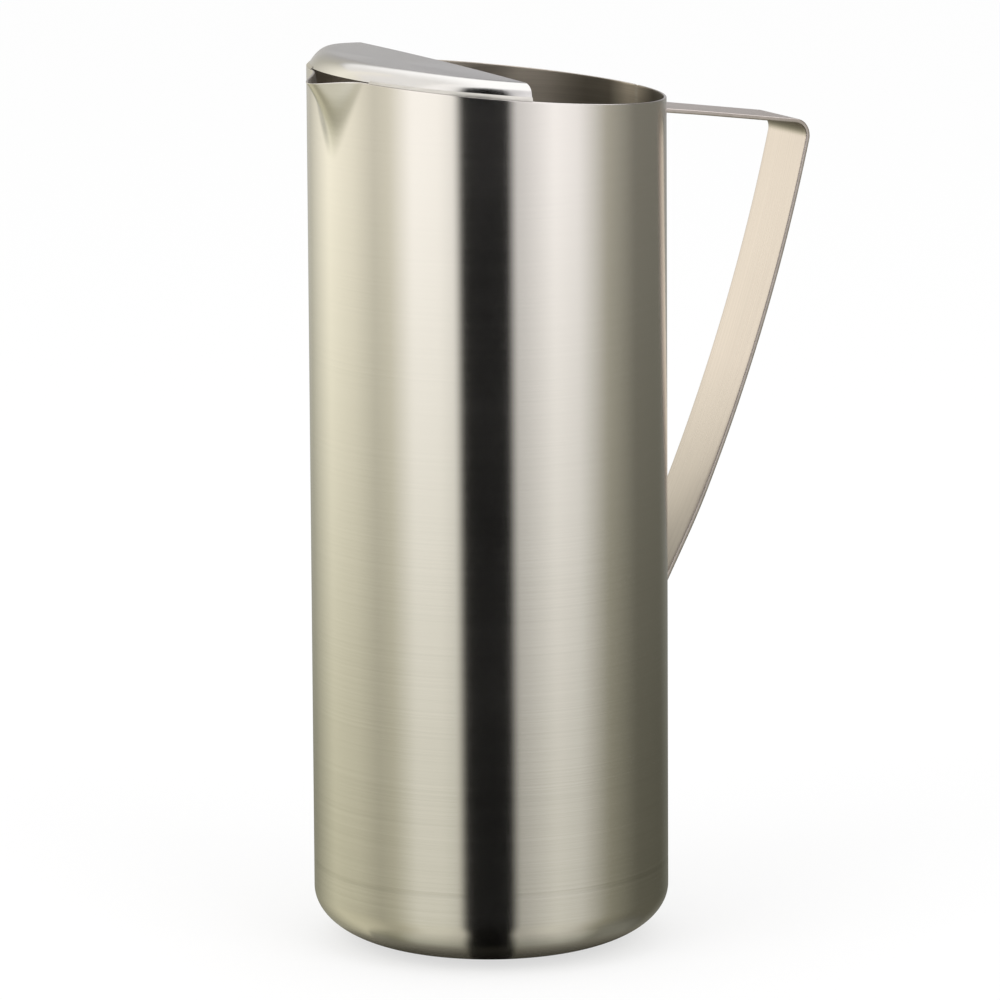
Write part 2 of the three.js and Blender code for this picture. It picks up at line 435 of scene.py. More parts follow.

# Degrees round the axis, counted from the handle, and the share of the colour that the painted shade leaves
# there
inside_painted_shade = [
    (-180, 0.30), (-150, 0.40), (-90, 0.70), (-12, 0.28), (0, 1.0), (5, 1.0), (14, 0.36),
    (24, 0.38), (42, 0.78), (50, 0.95), (60, 0.65), (90, 0.70), (150, 0.40), (180, 0.30),
]


def painted_dark(material, value, stops):
    """Paints shade on the steel: it leaves only a share of its colour, and the share follows a value."""
    tree = material.node_tree
    colour = tree.nodes["Principled BSDF"].inputs["Base Color"]
    bright = colour.links[0].from_socket
    tree.links.new(blend(tree, "MULTIPLY", bright, graded(tree, value, stops)), colour)


# Paint the shade bands onto the inside finish
x, y = places(inside_steel_with_painted_shade.node_tree)[:2]
round_inside = bearing(inside_steel_with_painted_shade.node_tree, x, y)
painted_dark(inside_steel_with_painted_shade, round_inside, [(at, share * plain) for at, share in inside_painted_shade])
print(f"the inside has {len(inside_painted_shade)} stops of shade round it")

# %% [markdown]
# Rolling the sheet leaves a narrow slot under the handle, which the weld fills later. A whole cylinder with
# a slot cut out would need a boolean, and a boolean leaves untidy faces. So the cuts simply run from one
# side of the slot to the other, closer together across the spout. Faces that look inward then get the
# inside finish.

# %% Roll the tube
seam_low, seam_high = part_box("side_seam")
seam_half = (seam_high.y - seam_low.y) / 2
spout_span = 1.3 * spout_half_angle
faces_in = -0.05
top_of_edge = 0.85
faces_up = 0.7


def line_inside(shell, finish):
    """Gives the faces that look towards the axis, or up from the bottom, the finish of the inside."""
    shell.data.materials.append(finish)
    for face in shell.data.polygons:
        flat_out = Vector((face.center.x, face.center.y, 0)).normalized()
        looks_in = face.normal.dot(flat_out) < faces_in and face.normal.z < top_of_edge
        if looks_in or face.normal.z > faces_up and face.center.z < band_bottom:
            face.material_index = 1


spout_steps = spread(-spout_span, spout_span, 72)
side_steps = spread(spout_span, math.pi - math.asin(seam_half / radius), 110)
angles = [-a for a in side_steps[::-1]] + spout_steps[1:-1] + side_steps
body = skin("body_shell", [tube_section(a) for a in angles], caps=True)
body.data.materials.append(body_steel)
line_inside(body, inside_steel_with_painted_shade)
stand_for(body, "body_tube")

# %% [markdown]
# The rolled sheet is closed by a straight weld under the handle. It is dressed flush and brushed with the
# rest, so it shows only as a narrow line with a duller grain. A line in the material could stand for it,
# but a weld is a piece of its own, so it fills the slot that the tube leaves, with a crown of a hundredth
# of a millimetre.

# %% Weld the side seam
seam_crown = 0.01 * MM
seam_steel = brushed_steel(
    "seam_steel", tint=(0.80, 0.735, 0.64), grain=(140, 140, 1500),
    roughness=0.36, streaks=0.9, anisotropy=0.9,
)


def seam_section(share):
    """One vertical cut through the weld. Share runs from -1 to 1 across it."""
    crown = seam_crown * (1 - share * share)
    y = seam_half * share
    columns = []
    for face, swell in ((radius, crown), (radius - wall, -crown)):
        x = math.sqrt(face ** 2 - y ** 2) + swell
        columns.append([Vector((x, y, z)) for z in spread(band_top, rim_at(x) - edge_round / 2, 12)])
    outside, inside = columns
    return outside + inside[::-1]


side_seam = skin("side_seam_bead", [seam_section(share) for share in spread(-1.0, 1.0, 10)], caps=True)
side_seam.data.materials.append(seam_steel)
stand_for(side_seam, "side_seam")

# %% [markdown]
# The base and its weld are round, as if turned on a lathe. A screw modifier turns an outline too, but it
# would have to be applied before the mesh could be joined and shaded. So a helper makes one ring of points
# for each point of the outline, and the skin does the rest.

# %% Turn outlines about the axis
round_steps = 256


def round_angles(count):
    """Even steps round the axis."""
    return [math.tau * i / count for i in range(count)]


def ring(reach, height, count):
    """A level circle of points about the axis."""
    return [(reach * math.cos(a), reach * math.sin(a), height) for a in round_angles(count)]


def turn(name, outline):
    """A ring or bowl from an outline of (radius, height) points, closed on itself or ending on the axis."""
    rings = [ring(reach, height, round_steps) for reach, height in outline]
    return skin(name, rings, loop_across=outline[0][0] > 0)


print(f"turned pieces have {round_steps} steps round")

# %% [markdown]
# The base is a drawn cup: flat in the middle, with a wide rounded corner and a short straight skirt that is
# welded to the tube. A bevelled cylinder comes close, but the corner is wider than it is high. So the
# corner is a quarter of an ellipse in the outline, once for the outside and once for the inside of the
# sheet.

# %% Turn the base cup
corner_reach = 25.2 * MM
corner_rise = 15.4 * MM
bottom_steel = brushed_steel(
    "bottom_steel", tint=(0.57, 0.515, 0.44), grain=(8, 8, 1800),
    roughness=0.34, streaks=0.6, anisotropy=0.95,
)


def cup_side(thickness):
    """The cup's outline from the axis to its top edge, this far in from the outside."""
    flat = radius - corner_reach
    points = [(flat * share, thickness) for share in spread(0.0, 1.0, 4)[:-1]]
    for a in spread(0.0, math.pi / 2, 32):
        across = flat + (corner_reach - thickness) * math.sin(a)
        points.append((across, corner_rise - (corner_rise - thickness) * math.cos(a)))
    points.append((radius - thickness, band_bottom))
    return points


cup = turn("base_shell", cup_side(0.0) + cup_side(wall)[::-1])
cup.data.materials.append(body_steel)
line_inside(cup, bottom_steel)
stand_for(cup, "base_cup")

# %% [markdown]
# The weld between cup and tube is brushed nearly away. Colour alone could draw it, but on steel a line
# shows because the light meets it at another angle. A hollow of about a hundredth of a millimetre is enough
# for that, so the band is a turned ring with a hollow outside.

# %% Turn the weld band
band_hollow = 0.012 * MM
band_steel = brushed_steel(
    "band_steel", tint=(0.75, 0.718, 0.685), grain=(24, 24, 1800),
    roughness=0.19, streaks=0.3, anisotropy=0.97,
)
band_outline = []
for share in spread(0.0, 1.0, 8):
    height = band_bottom + (band_top - band_bottom) * share
    band_outline.append((radius - band_hollow * math.sin(math.pi * share), height))
band_outline += [(radius - wall, band_top), (radius - wall, band_bottom)]
band = turn("base_weld_band", band_outline)
band.data.materials.append(band_steel)
stand_for(band, "base_seam")

# %% [markdown]
# The ice guard is a stamped lid over the spout half of the mouth: a nearly flat plate, a rolled shoulder
# and a short skirt. Round the spout the shoulder is wide and leans in from the rim. Towards the two trimmed
# ends it tightens to an upright skirt with a crisp edge. A plain bevel has one width all along, so it can't
# do this. The shoulder is a curve with four control points instead, which slide from one set to the other
# along the rim.

# %% Draw the guard's shoulder
wide_shoulder = ((0.6, 0.3), (1.5, 1.7), (2.9, 4.3), (6.5, 5.0))
tight_shoulder = ((0.5, 0.8), (0.5, 3.2), (1.4, 4.6), (3.9, 5.0))
tightens_from, tightens_to = math.radians(32), math.radians(60)


def eased(value, start, end):
    """0 up to the start, 1 from the end on, and a smooth change between them."""
    share = min(max((value - start) / (end - start), 0.0), 1.0)
    return share * share * (3 - 2 * share)


def tightness(from_spout):
    """0 round the spout, 1 towards the trimmed ends."""
    return eased(abs(from_spout), tightens_from, tightens_to)


def shoulder_curve(from_spout, steps):
    """The shoulder's outline, as (in from the wall, up from the rim) points."""
    tight = tightness(from_spout)
    knots = [Vector(w).lerp(Vector(t), tight) * MM for w, t in zip(wide_shoulder, tight_shoulder)]
    points = []
    for s in spread(0.0, 1.0, steps):
        weights = (1 - s) ** 3, 3 * s * (1 - s) ** 2, 3 * s * s * (1 - s), s ** 3
        points.append(sum((knot * weight for knot, weight in zip(knots, weights)), Vector((0, 0))))
    return points


print(f"shoulder {wide_shoulder[-1][0]:.1f} mm wide at the spout, {tight_shoulder[-1][0]:.1f} mm at the ends")

# %% [markdown]
# The plate goes on from the shoulder to the middle with a slight crown. A flat plate would be simpler, but
# it would mirror one even tone. The inside of the sheet follows the outside at the sheet's thickness.

# %% Draw the guard's outline
guard_sheet = 0.9 * MM
guard_crown = 0.4 * MM
shoulder_steps = 30
plate_steps = 20


def guard_outline(from_spout, thickness):
    """From the skirt's foot over the shoulder to the axis, this far in from the outside."""
    curve = shoulder_curve(from_spout, shoulder_steps)
    points = [(radius - p.x - thickness, p.y - thickness * i / shoulder_steps) for i, p in enumerate(curve)]
    edge, height = points[-1]
    for share in spread(1.0, 0.0, plate_steps)[1:]:
        points.append((edge * share, height + guard_crown * (1 - share * share)))
    return points


print(f"plate {guard_sheet / MM:.1f} mm thick, its middle {guard_crown / MM:.1f} mm higher than its shoulder")

# %% [markdown]
# A press forms a whole shape first and trims it afterwards, and the mesh is made in the same order. The
# outline is carried round the axis as a whole cap, lifted onto the slanted rim, and cut straight across.
# Half a cap could be made at once, but its ends would not lie in one plane. The cut leaves a crisp edge,
# which stays sharp.

# %% Stamp and trim the guard
guard_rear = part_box("ice_guard")[1].x
trim_gap = 0.001 * MM
guard_steel = brushed_steel(
    "guard_steel", tint=(0.80, 0.785, 0.765), grain=(900, 10, 200),
    roughness=0.17, streaks=0.06, anisotropy=0.8,
)

outlines = []
for angle in round_angles(round_steps):
    from_spout = math.pi - min(angle, math.tau - angle)
    outline = guard_outline(from_spout, 0.0)[::-1] + guard_outline(from_spout, guard_sheet)
    outlines.append([(r * math.cos(angle), r * math.sin(angle), h) for r, h in outline])
cap = skin("ice_guard_plate", list(zip(*outlines)))

trim = bmesh.new()
trim.from_mesh(cap.data)
for vertex in trim.verts:
    vertex.co.z += rim_at(vertex.co.x)
bmesh.ops.bisect_plane(
    trim,
    geom=trim.verts[:] + trim.edges[:] + trim.faces[:],
    dist=merge_gap,
    plane_co=(guard_rear, 0, 0),
    plane_no=(1, 0, 0),
    clear_outer=True,
)
bmesh.ops.contextual_create(trim, geom=[edge for edge in trim.edges if edge.is_boundary])
smooth_skin(trim, cap.data, trim_gap)
cap.data.materials.append(guard_steel)
stand_for(cap, "ice_guard")

# %% [markdown]
# The skirt stands on a bead of weld metal on the rim. The bead stops short of the spout on both sides, so
# that water can leave under the guard. A round pipe along the rim would be simple, but it would sink into
# the wall. The bead fills the step between wall and skirt with a sloping face, which draws the fine bright
# line under the guard.

# %% Run the two guard beads
bead_low, bead_high = 0.9 * MM, 1.2 * MM
bead_swell = 0.06 * MM
bead_ripple, bead_ripple_span = 0.015 * MM, 0.45 * MM
weld_steel = brushed_steel(
    "weld_steel", tint=(0.70, 0.675, 0.63), grain=(140, 140, 1500),
    roughness=0.32, streaks=0.9, anisotropy=0.85,
)


def bead_section(angle):
    """The bead's outline at this angle from the spout, as (radius, up from the rim) points."""
    top = bead_low + (bead_high - bead_low) * tightness(angle)
    inset = next(p.x for p in shoulder_curve(angle, 2 * shoulder_steps) if p.y >= top)
    swell = bead_swell + bead_ripple * math.sin(angle * radius / bead_ripple_span)
    points = []
    for share in spread(0.0, 1.0, 8):
        points.append((radius - inset * share + swell * math.sin(math.pi * share), top * share))
    return points + [(radius - inset - guard_sheet, top), (radius - wall, 0.0)]


def guard_bead(name, node):
    """A sloping bead along the rim, between the guard's cut and the spout."""
    low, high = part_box(node)
    side = 1 if low.y > 0 else -1
    start = math.asin(min(abs(low.y), abs(high.y)) / radius)
    end = math.acos(-guard_rear / radius)
    rings = []
    for angle in spread(start, end, 90):
        back, across = -math.cos(angle), side * math.sin(angle)
        rings.append([(r * back, r * across, rim_at(r * back) + h) for r, h in bead_section(angle)])
    bead = skin(name, rings, caps=True)
    bead.data.materials.append(weld_steel)
    stand_for(bead, node)


guard_bead("guard_bead_near", "guard_seam_near")
guard_bead("guard_bead_far", "guard_seam_far")

# %% [markdown]
# The handle is a flat strap, bent sharply at the top corner and gently along the leg, with a short foot at
# each end that is formed to the round wall. It could be cut from a plate and bent with modifiers, but the
# bends would then depend on one another. A strap is one cross-section carried along one line, so the sizes
# of that middle line come first.

# %% Sizes of the handle
strap_low, strap_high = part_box("handle_strap")
strap_width = strap_high.y - strap_low.y
strap_thickness = 1.3 * MM
handle_drop = 5.35 * MM
handle_pitch = math.radians(9.1)
handle_reach = 54.2 * MM
handle_lower = 97 * MM
leg_radius = 538 * MM
top_bend, corner_bend, foot_bend = 3.2 * MM, 4.75 * MM, 14 * MM
foot_length = 14 * MM
foot_gap = 0.05 * MM
foot_inside = radius + foot_gap
foot_x = foot_inside + strap_thickness / 2
top_at_wall = rim_at(radius) - handle_drop - strap_thickness / 2 / math.cos(handle_pitch)


def top_at(x):
    """Height of the middle line along the sloping top."""
    return top_at_wall - math.tan(handle_pitch) * (x - radius)


print(f"strap {strap_width / MM:.1f} mm wide, its top slopes {math.degrees(handle_pitch):.1f} degrees")

# %% [markdown]
# The strap is bent as if round three pins. The middle line touches each bend and runs straight, or along
# the leg's long arc, from one to the next. The touching points could be found by trial. A little geometry
# finds the centres of the bends exactly, in the plane of the handle, where the first number is X and the
# second is Z.

# %% Find the centres of the bends
bend_one = Vector((foot_x + top_bend, top_at(foot_x + top_bend) - top_bend / math.cos(handle_pitch)))

outer_corner = Vector((radius + handle_reach, top_at(radius + handle_reach)))
lower_corner = Vector((foot_x, handle_lower))
chord = lower_corner - outer_corner
leg_back = math.sqrt(leg_radius ** 2 - chord.length_squared / 4)
leg_centre = (outer_corner + lower_corner) / 2 + Vector((chord.y, -chord.x)).normalized() * leg_back

along = Vector((math.cos(handle_pitch), -math.sin(handle_pitch)))
under = Vector((-math.sin(handle_pitch), -math.cos(handle_pitch)))
begin = Vector((radius, top_at_wall)) + under * corner_bend - leg_centre
back = begin.dot(along)
run = math.sqrt(back ** 2 - begin.length_squared + (leg_radius - corner_bend) ** 2) - back
bend_two = begin + along * run + leg_centre

three_x = foot_x + foot_bend
three_z = leg_centre.y - math.sqrt((leg_radius + foot_bend) ** 2 - (three_x - leg_centre.x) ** 2)
bend_three = Vector((three_x, three_z))
for bend in (bend_one, bend_two, bend_three):
    print(f"bend centre {bend.x / MM:.1f} mm out and {bend.y / MM:.1f} mm up")

# %% [markdown]
# With the centres known, the line is joined from its parts: the upper foot, the first bend, the straight
# top, the sharp corner, the long arc of the leg, the last bend and the lower foot. A drawn curve could do
# it with handles to pull. Arcs keep each bend at its true radius.

# %% Join the middle line
def arc(centre, reach, start, end, steps):
    """Points along an arc, from one angle to another."""
    return [centre + Vector((math.cos(a), math.sin(a))) * reach for a in spread(start, end, steps)]


def angle_from_leg(point):
    """Angle at which the leg's centre sees a point."""
    return math.atan2(point.y - leg_centre.y, point.x - leg_centre.x)


square_to_top = math.pi / 2 - handle_pitch
leg_top, leg_low = angle_from_leg(bend_two), angle_from_leg(bend_three)
top_start = arc(bend_one, top_bend, math.pi, square_to_top, steps=16)
corner = arc(bend_two, corner_bend, square_to_top, leg_top, steps=20)
middle = [Vector((foot_x, z)) for z in spread(bend_one.y - foot_length, bend_one.y, 10)[:-1]]
middle += top_start
middle += [top_start[-1].lerp(corner[0], share) for share in spread(0.0, 1.0, 14)[1:-1]]
middle += corner
middle += arc(leg_centre, leg_radius, leg_top, leg_low, steps=60)[1:]
middle += arc(bend_three, foot_bend, leg_low + math.pi, math.pi, steps=12)[1:]
middle += [Vector((foot_x, z)) for z in spread(three_z, three_z - foot_length, 10)[1:]]
length = sum((b - a).length for a, b in zip(middle, middle[1:]))
print(f"strap {length / MM:.0f} mm long, with {len(middle)} points along it")

# %% [markdown]
# The strap is brushed along its length. Its cut edges are darker than its faces. Painted shade darkens its
# lower leg and the inner side of the top corner. One finish for all would look cast. So the faces, the edges
# and the inner corner have a finish each, and the painted shade follows rules of height.

# %% Finishes of the handle, with painted shade
leg_shade_share = Vector((0.60, 0.62, 0.60))
leg_full_shade_to, leg_unshaded_from = 100 * MM, 165 * MM
corner_under, corner_over, corner_shade_share = 1 * MM, 6 * MM, 0.22
bend_top = bend_two.y + corner_bend - strap_thickness / 2

handle_steel = brushed_steel(
    "handle_steel", tint=(0.805, 0.73, 0.69), grain=(9, 2200, 9), roughness=0.28, streaks=0.6,
)
# Painted shade: the lower leg grows darker towards its foot
leg_shade = [(leg_full_shade_to, leg_shade_share), (leg_unshaded_from, plain)]
painted_dark(handle_steel, places(handle_steel.node_tree)["Z"], leg_shade)
cut_edge_steel = brushed_steel(
    "cut_edge_steel", tint=(0.56, 0.505, 0.475), grain=(300, 1800, 300), roughness=0.36, streaks=0.8,
)
# Painted shade inside the top corner, on a copy of the handle's finish
corner_painted_shade_steel = handle_steel.copy()
corner_painted_shade_steel.name = "corner_painted_shade_steel"
corner_shade = [
    (bend_two.y - corner_under, plain),
    (bend_top - corner_under, corner_shade_share * plain),
    (bend_top + corner_over, plain),
]
painted_dark(corner_painted_shade_steel, places(corner_painted_shade_steel.node_tree)["Z"], corner_shade)
print(f"the leg is dull below {leg_full_shade_to / MM:.0f} mm, the corner round {bend_top / MM:.0f} mm up")

# %% [markdown]
# The strap's section is flat with small rounded edges. Where it meets the body it takes the round of the
# wall, and further out it is flat across. A lattice could bend it, but the amount is known from the wall's
# radius, so each point is moved in by that amount, less and less with its distance from the wall.

# %% Draw the strap's section
strap_edge = 0.4 * MM
formed_to = foot_inside + strap_thickness + 2 * MM
flat_from = formed_to + 13.5 * MM


def strap_section():
    """Rounded edges and flat faces, as (across the width, through the thickness) points."""
    half_flat = strap_width / 2 - strap_edge
    half_core = strap_thickness / 2 - strap_edge
    points = []
    for i, (side, face) in enumerate(((1, 1), (-1, 1), (-1, -1), (1, -1))):
        for a in spread(i * math.pi / 2, (i + 1) * math.pi / 2, 5):
            across = side * half_flat + strap_edge * math.cos(a)
            points.append((across, face * half_core + strap_edge * math.sin(a)))
        if side == face:
            flat_steps = spread(1.0, -1.0, 14)[1:-1]
            points += [(side * half_flat * step, face * strap_thickness / 2) for step in flat_steps]
    return points


def form_to_wall(point):
    """Near the wall the strap takes the round of the body. Further out it is flat across."""
    formed = 1 - eased(point.x, formed_to, flat_from)
    point.x -= formed * (foot_inside - math.sqrt(foot_inside ** 2 - point.y ** 2))
    return point


print(f"{len(strap_section())} points in the section, flat from {flat_from / MM:.1f} mm out")

# %% [markdown]
# Now the section travels along the middle line, square to it at every point. A curve object with a bevel
# does the same in the interface, but its end feet could not be formed to the wall. The direction of each
# face then tells which finish it gets.

# %% Carry the section along the line
edge_test = 0.75

rings = []
for i, here in enumerate(middle):
    step = middle[min(i + 1, len(middle) - 1)] - middle[max(i - 1, 0)]
    left = Vector((-step.y, step.x)).normalized()
    ring_points = []
    for across, through in strap_section():
        flat_point = here + left * through
        ring_points.append(form_to_wall(Vector((flat_point.x, across, flat_point.y))))
    rings.append(ring_points)
strap = skin("handle_strap_bent", rings, caps=True)
for finish in (handle_steel, cut_edge_steel, corner_painted_shade_steel):
    strap.data.materials.append(finish)
for face in strap.data.polygons:
    if abs(face.normal.y) > edge_test:
        face.material_index = 1
    # Inner faces at the top corner take the painted corner shade
    elif face.normal.x < 0 and face.center.z > bend_two.y - corner_bend:
        face.material_index = 2
stand_for(strap, "handle_strap")

# %% [markdown]
# Each foot is held by a fillet weld along its end. A weld laid by hand has a row of ripples, one for each
# dab of filler. A bump in the finish would not show at the weld's outline, so the bead itself swells and
# sinks a little along its length.

# %% Lay the two fillet welds
fillet_leg = 1.6 * MM
fillet_fill = 0.72
fillet_out, fillet_up = 1.1, 1.25
dab_height, dab_span = 0.09 * MM, 0.55 * MM


def fillet_section(top, ripple):
    """The bead's outline, as (radius, height) points from the wall up to the foot's end."""
    bulge = fillet_fill * fillet_leg + ripple
    points = []
    for a in spread(0.0, math.pi / 2, 8):
        height = top - fillet_leg + fillet_up * bulge * (1 - math.cos(a))
        points.append((foot_inside + fillet_out * bulge * math.sin(a), min(height, top)))
    points.append((foot_inside, top))
    return points


def fillet(name, node):
    """A rippled bead under a foot, as wide as the strap."""
    low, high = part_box(node)
    half_angle = math.asin(strap_width / 2 / foot_inside)
    rings = []
    for angle in spread(-half_angle, half_angle, 120):
        ripple = dab_height * abs(math.sin(angle * foot_inside / dab_span))
        section = fillet_section(high.z, ripple)
        rings.append([(r * math.cos(angle), r * math.sin(angle), z) for r, z in section])
    bead = skin(name, rings, caps=True)
    bead.data.materials.append(weld_steel)
    stand_for(bead, node)


fillet("handle_fillet_top", "handle_top_weld")
fillet("handle_fillet_lower", "handle_lower_weld")

# %% [markdown]
# Now the studio. The camera stands where the photograph was taken from: well back and above the rim, a
# third of the way from the side view to the spout, with a long lens. It could be aimed by a constraint at
# an empty, but the fit gave three small angles as well. So its place is a distance, a height and these
# angles, and they are turned into the camera's three axes.

# %% Place the camera
photo_size = 1000
focal_pixels = 9018
camera_angle = math.radians(-31.5)
camera_distance = 2600 * MM
camera_height = 663.4 * MM
camera_turn = math.radians(0.071)
camera_pitch = math.radians(11.57)
camera_roll = math.radians(0.34)

lens = bpy.data.cameras.new("photo_lens")
lens.sensor_width = 36
lens.lens = focal_pixels * lens.sensor_width / photo_size
lens.clip_end = 40
camera = put_in_scene("photo_camera", lens)
bpy.context.scene.camera = camera

up = Vector((0, 0, 1))
level = Vector((-math.sin(camera_angle), math.cos(camera_angle), 0))
right = Vector((math.cos(camera_angle), math.sin(camera_angle), 0))
camera.location = -level * camera_distance + up * camera_height
ahead = level * math.cos(camera_turn) + right * math.sin(camera_turn)
right = right * math.cos(camera_turn) - level * math.sin(camera_turn)
gaze = ahead * math.cos(camera_pitch) - up * math.sin(camera_pitch)
above = ahead * math.sin(camera_pitch) + up * math.cos(camera_pitch)
tilted_right = right * math.cos(camera_roll) - above * math.sin(camera_roll)
tilted_up = right * math.sin(camera_roll) + above * math.cos(camera_roll)
turn_to = Matrix((tilted_right, tilted_up, -gaze)).transposed()
camera.rotation_mode = "QUATERNION"
camera.rotation_quaternion = turn_to.to_quaternion()
print(f"lens {lens.lens:.0f} mm, {camera_distance:.2f} m away")

# %% [markdown]
# Bright steel is lit by what it mirrors. The pitcher was photographed between two large soft boxes in front
# of pale walls, with a gap between the boxes for the lens, and that gap is the dark stripe down the middle
# of the body. Each box could be a plane of its own. A round tent of glowing cloth does the same job with a
# few rules: which cloth hangs at which angle from the lens, and where the gap is. Only reflections see the
# tent.

# %% Choose the cloth of the tent
tent_reach = 0.6
tent_foot, tent_top = -0.6, 1.3
tent_glow = 1.55
soft_box = Vector((1.0, 0.98, 1.0))
warm_box = Vector((1.0, 0.98, 0.96))
cream_wall = Vector((1.0, 0.965, 0.84))
grey_wall = Vector((1.0, 0.985, 1.0))

# Degrees from the lens, counted to the right of the picture, and the cloth that hangs there
cloth_round = [
    (-180, 0.335 * grey_wall), (-150, 0.42 * cream_wall), (-118, 0.85 * cream_wall),
    (-92, 0.715 * cream_wall), (-74, 0.525 * cream_wall), (-63, 0.60 * cream_wall),
    (-47, 0.92 * warm_box), (-30, 0.89 * warm_box), (-23, 0.80 * warm_box),
    (21, 0.58 * soft_box), (42, 0.87 * soft_box), (58, 0.78 * soft_box), (80, 0.34 * cream_wall),
    (106, 0.16 * cream_wall), (140, 0.14 * cream_wall), (180, 0.335 * grey_wall),
]


def gap_in_light(left, left_soft, right_soft, right, share):
    """Stops for a gap with soft sides, in degrees from the lens. A share of the light is left in it."""
    inside = [(left_soft, share * plain), (right_soft, share * plain)]
    return [(-180, plain), (left, plain), *inside, (right, plain), (180, plain)]


lens_gap = gap_in_light(-20.5, -15.0, 12.5, 18.5, share=0.004)
print(f"tent of {len(cloth_round)} stops of cloth, {2 * tent_reach:.1f} m across")

# %% [markdown]
# Height has its own rules, in metres above the table. The tent reaches below the table, because reflections
# pass through the paper that lies there. High up the wall turns into a white dome, which is dimmer to the
# left. Towards the foot the light fades, and a pale table keeps the lowest part from going dark. A ramp for
# each is easy to tune.

# %% Choose how the light changes with height
none = 0 * plain
dome_starts = [(0.56, none), (0.70, plain)]
dome_light = [(-0.42, 0.60 * Vector((1.0, 0.985, 0.96))), (-0.05, 0.82 * plain)]
wall_light = [
    (-0.60, Vector((0.50, 0.50, 0.42))), (-0.20, Vector((0.49, 0.495, 0.41))),
    (-0.10, Vector((0.40, 0.41, 0.34))), (0.10, Vector((0.81, 0.825, 0.77))),
    (0.22, plain), (0.40, 0.80 * plain),
]
table_colour = Vector((0.13, 0.13, 0.105))
table_light = [(-0.50, table_colour), (-0.20, none)]
print(f"the dome starts {dome_starts[0][0]:.2f} to {dome_starts[1][0]:.2f} m up")

# %% [markdown]
# Every cloth of the tent is round, glows by a rule and is seen by reflections alone. Area lamps could do it
# too, but a lamp has one colour. So one helper starts a cloth, and another gives it its light and hangs it,
# turned so that its X direction points at the lens.

# %% Start a cloth and hang it
tent_sides = 180
lens_bearing = math.degrees(math.atan2(camera.location.y, camera.location.x))


def new_cloth(name):
    """A cloth without light yet."""
    cloth = bpy.data.materials.new(name)
    cloth.use_nodes = True
    cloth.cycles.emission_sampling = "NONE"
    cloth.node_tree.nodes.clear()
    return cloth


def hang(name, cloth, colour, ends):
    """A round cloth between two (radius, height) ends, with this colour for its light."""
    tree = cloth.node_tree
    glow = tree.nodes.new("ShaderNodeEmission")
    glow.inputs["Strength"].default_value = tent_glow
    tree.links.new(colour, glow.inputs["Color"])
    out = tree.nodes.new("ShaderNodeOutputMaterial")
    tree.links.new(glow.outputs["Emission"], out.inputs["Surface"])
    sheet = skin(name, [ring(reach, height, tent_sides) for reach, height in ends])
    sheet.rotation_euler.z = math.radians(lens_bearing)
    sheet.data.materials.append(cloth)
    sheet.visible_camera = False
    sheet.visible_diffuse = False
    sheet.visible_shadow = False
    print(f"{name}: {ends[-1][0]:.3f} m in radius")


print(f"the lens stands at bearing {lens_bearing:.1f} degrees")

# %% [markdown]
# The wall of the tent follows all the rules. Angle picks the cloth, height dims it, the table lifts its
# foot, the gap cuts it, and the dome covers its top. Separate sheets for these would show their edges in
# the steel.

# %% Hang the wall
cloth = new_cloth("tent_wall_cloth")
tree = cloth.node_tree
x, y, z = places(tree)
angle = bearing(tree, x, y)
lit = blend(tree, "MULTIPLY", graded(tree, angle, cloth_round), graded(tree, z, wall_light))
lit = blend(tree, "LIGHTEN", lit, graded(tree, z, table_light))
lit = blend(tree, "MULTIPLY", lit, graded(tree, angle, lens_gap))
dome = blend(tree, "MULTIPLY", graded(tree, z, dome_starts), graded(tree, y, dome_light))
colour = blend(tree, "LIGHTEN", lit, dome)
hang("tent_wall", cloth, colour, ((tent_reach, tent_foot), (tent_reach, tent_top)))

# %% [markdown]
# Under the rounded base the steel looks down. The strips of the wall could stop at a plain floor, but then
# they would bend in the rounded corner. On this deep floor every strip runs on to one point at the back,
# which keeps them straight. The cloths lie a little wider apart here, and the floor grows brighter away
# from that point.

# %% Lay the floor of the tent
floor_middle = 1 * MM
cloth_share = 0.82
floor_light = [
    (0.0, 0.02 * plain), (0.35, Vector((0.06, 0.057, 0.047))),
    (0.62, Vector((0.30, 0.31, 0.25))), (1.05, Vector((0.47, 0.47, 0.395))),
]
table_spread = [(0.20, none), (0.50, table_colour)]

cloth = new_cloth("tent_floor_cloth")
tree = cloth.node_tree
x, y = places(tree)[:2]
from_back = work_out(tree, "ADD", x, tent_reach)
angle = work_out(tree, "MULTIPLY", bearing(tree, from_back, y), 2.0)
cloth_angle = work_out(tree, "MULTIPLY", angle, cloth_share)
brightness = graded(tree, distance(tree, from_back, y), floor_light)
lit = blend(tree, "MULTIPLY", graded(tree, cloth_angle, cloth_round), brightness)
lit = blend(tree, "LIGHTEN", lit, graded(tree, distance(tree, x, y), table_spread))
colour = blend(tree, "MULTIPLY", lit, graded(tree, angle, lens_gap))
hang("tent_floor", cloth, colour, ((floor_middle, tent_foot), (tent_reach, tent_foot)))

# %% [markdown]
# Right under the pitcher lies a small shade: the patch of table that the pitcher itself keeps dark. A real
# shadow would need the table in the reflections, which would hide the tent's floor. A small dim disc gives
# the base its dark lower edge.

# %% Put the shade under the pitcher
shade_reach = 0.048
shade_height = -3 * MM
shade_light = [(0.038, Vector((0.03, 0.028, 0.021))), (shade_reach, Vector((0.12, 0.115, 0.09)))]
shade_gap = gap_in_light(-11.5, -9.0, 8.5, 11.0, share=0.1)

